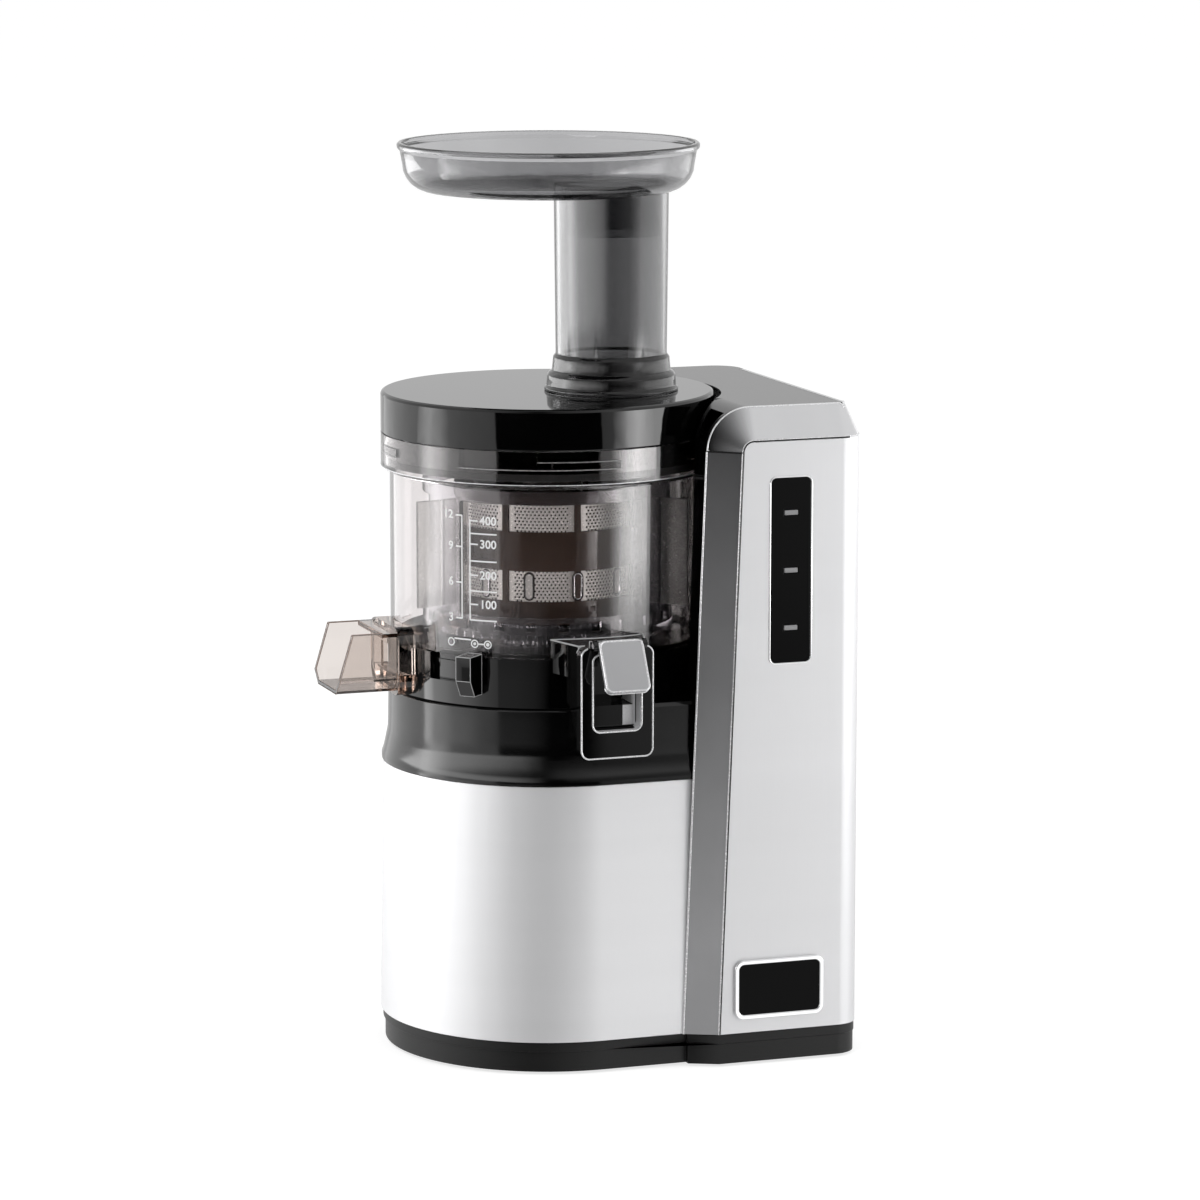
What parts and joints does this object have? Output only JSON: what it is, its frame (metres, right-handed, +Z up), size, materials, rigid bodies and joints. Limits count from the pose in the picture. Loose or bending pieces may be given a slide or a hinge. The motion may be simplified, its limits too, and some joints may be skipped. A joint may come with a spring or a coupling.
{
  "type": "cold press juicer",
  "caption": "Upright slow juicer: motor body with side tower, clear juicing drum, turning lid, feed chute and tray, hinged juice flap, pulp trough and lever.",
  "frame": {"origin": "middle of the plan box of the whole juicer, on the surface that it stands on", "axes": "+Z up, -Y towards the juice spout and the control panel, +X towards the tower"},
  "size_m": [0.2378, 0.2012, 0.432],
  "materials": {
    "steel": "satin brushed stainless sheet",
    "gunmetal": "dark satin metallic trim",
    "gloss_black": "high gloss black plastic",
    "dark_plastic": "semi gloss dark grey plastic",
    "base_black": "fine matte black plastic",
    "smoke": "smoke grey clear plastic",
    "clear": "faintly tinted clear plastic",
    "pink_clear": "brown-pink tinted clear plastic",
    "brown_clear": "dark brown clear plastic",
    "lilac_smoke": "grey tinted clear plastic",
    "mesh_steel": "perforated stainless band",
    "chrome": "polished bright metal",
    "flap_grey": "satin silver flap with bright edges",
    "silicone": "translucent white silicone",
    "rubber": "black rubber",
    "shaft_steel": "ground steel",
    "cast": "cast aluminium",
    "iron_core": "laminated iron",
    "copper": "enamelled copper wire",
    "nylon": "natural nylon",
    "screw_plastic": "dark moulded screw",
    "circuit": "circuit board with parts",
    "button_grey": "grey button cap"
  },
  "bodies": {
    "machine": {"base_tray": "base_black", "feet": "rubber", "base_screws": "shaft_steel", "body_skin": "steel", "upper_housing": "dark_plastic", "tower_shell": "gloss_black", "tower_front": "steel", "tower_trim_side": "gunmetal", "tower_trim_top": "gunmetal", "tower_cap": "gloss_black", "panel": "gloss_black", "badge_plate": "gloss_black", "badge_frame": "chrome", "control_board": "circuit", "switches": "shaft_steel", "cord_gland": "rubber", "power_board": "circuit", "motor_stator": "iron_core", "stator_windings": "copper", "motor_bell_lower": "cast", "motor_bell_upper": "cast", "motor_bearings": "shaft_steel", "motor_mounts": "rubber", "gearbox_tub": "nylon", "gearbox_lid": "nylon", "output_bearings": "shaft_steel"},
    "rotor": {"rotor_core": "iron_core", "rotor_shaft": "shaft_steel", "fan": "nylon"},
    "countershaft": {"counter_wheel": "nylon", "counter_shaft": "shaft_steel"},
    "output": {"output_wheel": "shaft_steel", "output_shaft": "shaft_steel"},
    "chamber": {"drum_base": "gloss_black", "drum": "clear", "drive_seal": "silicone", "strainer_frame": "brown_clear", "strainer_screen": "mesh_steel", "juice_spout": "gloss_black", "pulp_spout": "pink_clear", "idler_pin": "shaft_steel", "flap_pin": "shaft_steel"},
    "screw": {"screw": "screw_plastic", "screw_gear": "screw_plastic", "screw_insert": "shaft_steel", "screw_pin": "shaft_steel"},
    "brush": {"brush_frame": "lilac_smoke", "wipers": "silicone"},
    "idler": {"idler_gear": "nylon"},
    "lever": {"pulp_lever": "gloss_black"},
    "flap": {"juice_flap": "flap_grey", "flap_seal": "silicone"},
    "lid": {"lid": "gloss_black", "lid_seal": "silicone", "chute": "smoke"},
    "tray": {"feed_tray": "smoke"},
    "forward_button": {"button_forward": "button_grey"},
    "power_button": {"button_power": "button_grey"},
    "reverse_button": {"button_reverse": "button_grey"}
  },
  "joints": [
    {"name": "motor_spin", "type": "hinge", "parent": "machine", "child": "rotor", "pos_m": [-0.0089, 0.01658, 0], "axis": [0, 0, 1], "continuous": true},
    {"name": "countershaft_spin", "type": "hinge", "parent": "machine", "child": "countershaft", "pos_m": [-0.0464, 0.01658, 0], "axis": [0, 0, 1], "continuous": true},
    {"name": "output_spin", "type": "hinge", "parent": "machine", "child": "output", "pos_m": [-0.0089, 0.01658, 0], "axis": [0, 0, 1], "continuous": true},
    {"name": "chamber_lift", "type": "slide", "parent": "machine", "child": "chamber", "axis": [0, 0, 1], "range_m": [0, 0.05]},
    {"name": "screw_spin", "type": "hinge", "parent": "chamber", "child": "screw", "pos_m": [-0.0089, 0.01658, 0], "axis": [0, 0, 1], "continuous": true},
    {"name": "brush_spin", "type": "hinge", "parent": "chamber", "child": "brush", "pos_m": [-0.0089, 0.01658, 0], "axis": [0, 0, 1], "continuous": true},
    {"name": "idler_spin", "type": "hinge", "parent": "chamber", "child": "idler", "pos_m": [-0.0089, 0.04058, 0], "axis": [0, 0, 1], "continuous": true},
    {"name": "lid_turn", "type": "hinge", "parent": "chamber", "child": "lid", "pos_m": [-0.0089, 0.01658, 0], "axis": [0, 0, 1], "range_deg": [-30, 0]},
    {"name": "tray_lift", "type": "slide", "parent": "lid", "child": "tray", "axis": [0, 0, 1], "range_m": [0, 0.03]},
    {"name": "lever_turn", "type": "hinge", "parent": "chamber", "child": "lever", "pos_m": [-0.0089, 0.01658, 0], "axis": [0, 0, 1], "range_deg": [-15.5, 0]},
    {"name": "flap_swing", "type": "hinge", "parent": "chamber", "child": "flap", "pos_m": [-0.0089, -0.08642, 0.2085], "axis": [1, 0, 0], "range_deg": [-60, 29]},
    {"name": "forward_press", "type": "slide", "parent": "machine", "child": "forward_button", "axis": [0, 1, 0], "range_m": [0, 0.0008], "stiffness_N_per_m": 400, "springref_m": -0.0004},
    {"name": "power_press", "type": "slide", "parent": "machine", "child": "power_button", "axis": [0, 1, 0], "range_m": [0, 0.0008], "stiffness_N_per_m": 400, "springref_m": -0.0004},
    {"name": "reverse_press", "type": "slide", "parent": "machine", "child": "reverse_button", "axis": [0, 1, 0], "range_m": [0, 0.0008], "stiffness_N_per_m": 400, "springref_m": -0.0004}
  ],
  "couplings": [
    {"joint": "countershaft_spin", "follows": "motor_spin", "ratio": -0.25},
    {"joint": "output_spin", "follows": "motor_spin", "ratio": 0.0625},
    {"joint": "screw_spin", "follows": "motor_spin", "ratio": 0.0625},
    {"joint": "idler_spin", "follows": "motor_spin", "ratio": -0.10417},
    {"joint": "brush_spin", "follows": "motor_spin", "ratio": -0.028409}
  ]
}
